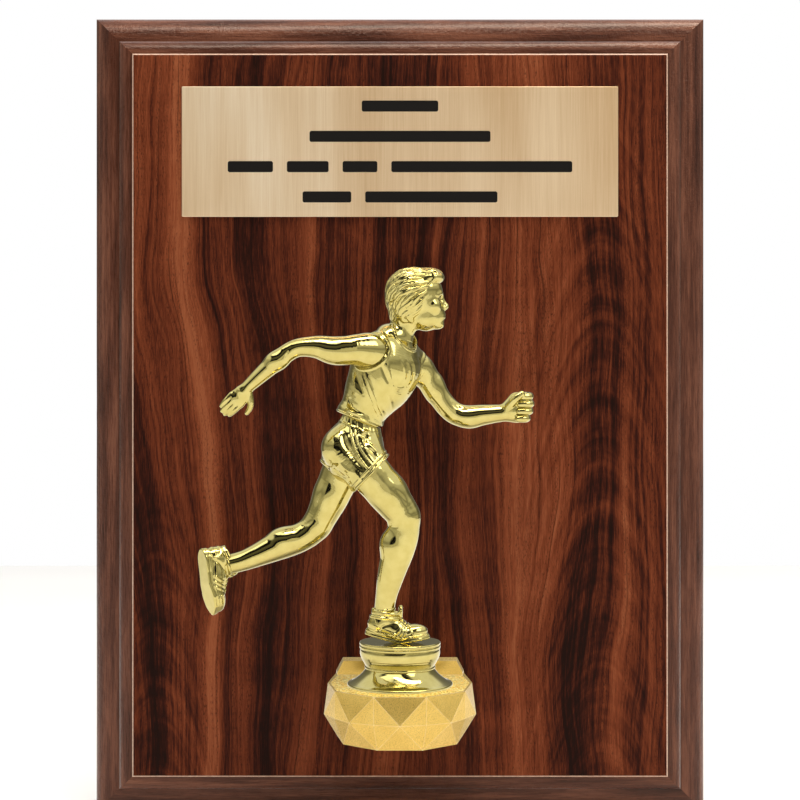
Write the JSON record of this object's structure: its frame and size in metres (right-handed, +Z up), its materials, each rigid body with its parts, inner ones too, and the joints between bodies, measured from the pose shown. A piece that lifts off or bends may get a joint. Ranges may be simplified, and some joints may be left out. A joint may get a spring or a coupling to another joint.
{
  "type": "figure trophy plaque",
  "caption": "Wall plaque award: moulded-edge wooden board with a blank-text nameplate and a faceted gold shelf that carries a gold runner on a spool pedestal.",
  "frame": {"origin": "centre of the board's back face, which lies against the wall", "axes": "+X to the viewer's right, +Y out of the back face towards the wall, +Z up"},
  "size_m": [0.178, 0.0576, 0.232],
  "materials": {
    "board_wood": "dark walnut, gloss lacquer",
    "veneer": "satin lacquered wood grain",
    "plate": "brass-coloured, brushed upright",
    "tape": "matte",
    "fill": "matte black",
    "steel": "zinc plated",
    "shelf_gold": "metallised, satin gold",
    "insert_gold": "metallised, stippled",
    "figure_gold": "metallised, bright pale gold"
  },
  "bodies": {
    "plaque": {"board": "board_wood", "face_veneer": "veneer", "nameplate": "plate", "nameplate_tape": "tape", "engraving_fill": "fill", "hanger_plate": "steel", "hanger_screws": "steel", "shelf": "shelf_gold", "shelf_insert": "insert_gold", "shelf_screws": "steel"},
    "figure": {"pedestal": "figure_gold", "pedestal_nut": "steel", "figure_screw": "steel", "figure_washer": "steel", "runner_torso": "figure_gold", "runner_shorts": "figure_gold", "runner_right_arm": "figure_gold", "runner_left_arm": "figure_gold", "runner_right_leg": "figure_gold", "runner_left_leg": "figure_gold"}
  },
  "joints": [
    {"name": "figure_swivel", "type": "hinge", "parent": "plaque", "child": "figure", "pos_m": [0, -0.0365, -0.074], "axis": [0, 0, 1], "range_deg": [-13, 15]}
  ]
}
